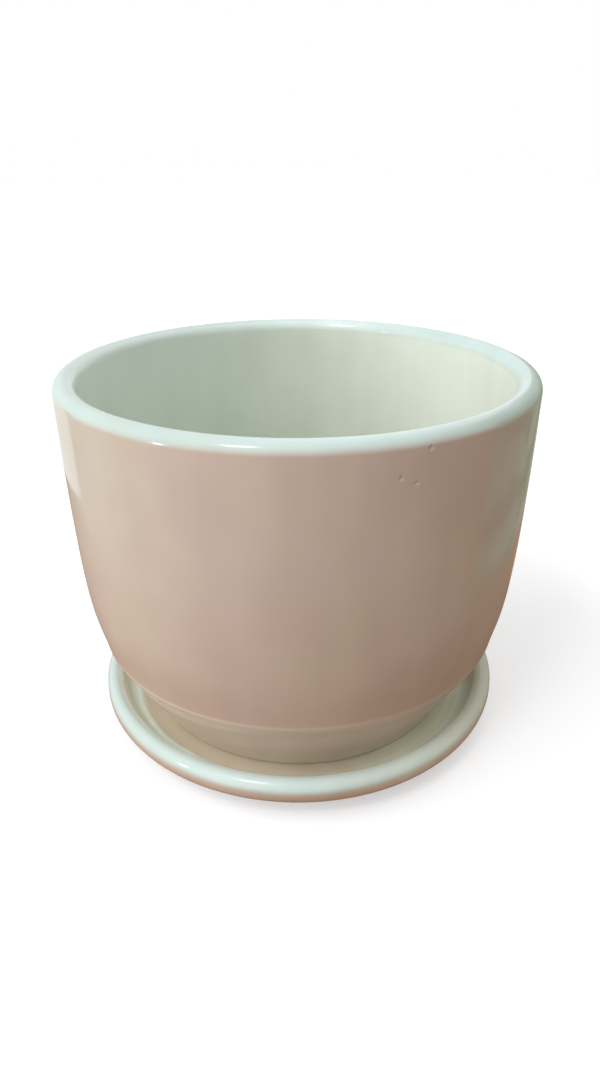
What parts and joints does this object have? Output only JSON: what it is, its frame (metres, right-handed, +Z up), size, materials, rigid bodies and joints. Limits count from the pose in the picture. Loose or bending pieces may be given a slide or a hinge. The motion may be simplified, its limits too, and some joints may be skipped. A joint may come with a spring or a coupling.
{
  "type": "plant pot with saucer",
  "caption": "Round glazed ceramic plant pot with a tapered foot and a drain hole, standing loose in a shallow saucer with a rolled lip, and lifting straight off it.",
  "frame": {"origin": "centre of the saucer's foot ring, on the surface that it stands on", "axes": "+Z up the turning axis of the pot and the saucer; +Y away from the viewer in the picture; +X to the viewer's right"},
  "size_m": [0.15, 0.15, 0.1225],
  "materials": {
    "saucer_glaze": "gloss glaze, bare clay under the foot ring",
    "pot_glaze": "gloss glaze, paler over the rim, bare clay under the foot ring"
  },
  "bodies": {
    "saucer": {"saucer": "saucer_glaze"},
    "pot": {"pot": "pot_glaze"}
  },
  "joints": [
    {"name": "pot_lift", "type": "slide", "parent": "saucer", "child": "pot", "axis": [0, 0, 1], "range_m": [0, 0.04]}
  ]
}
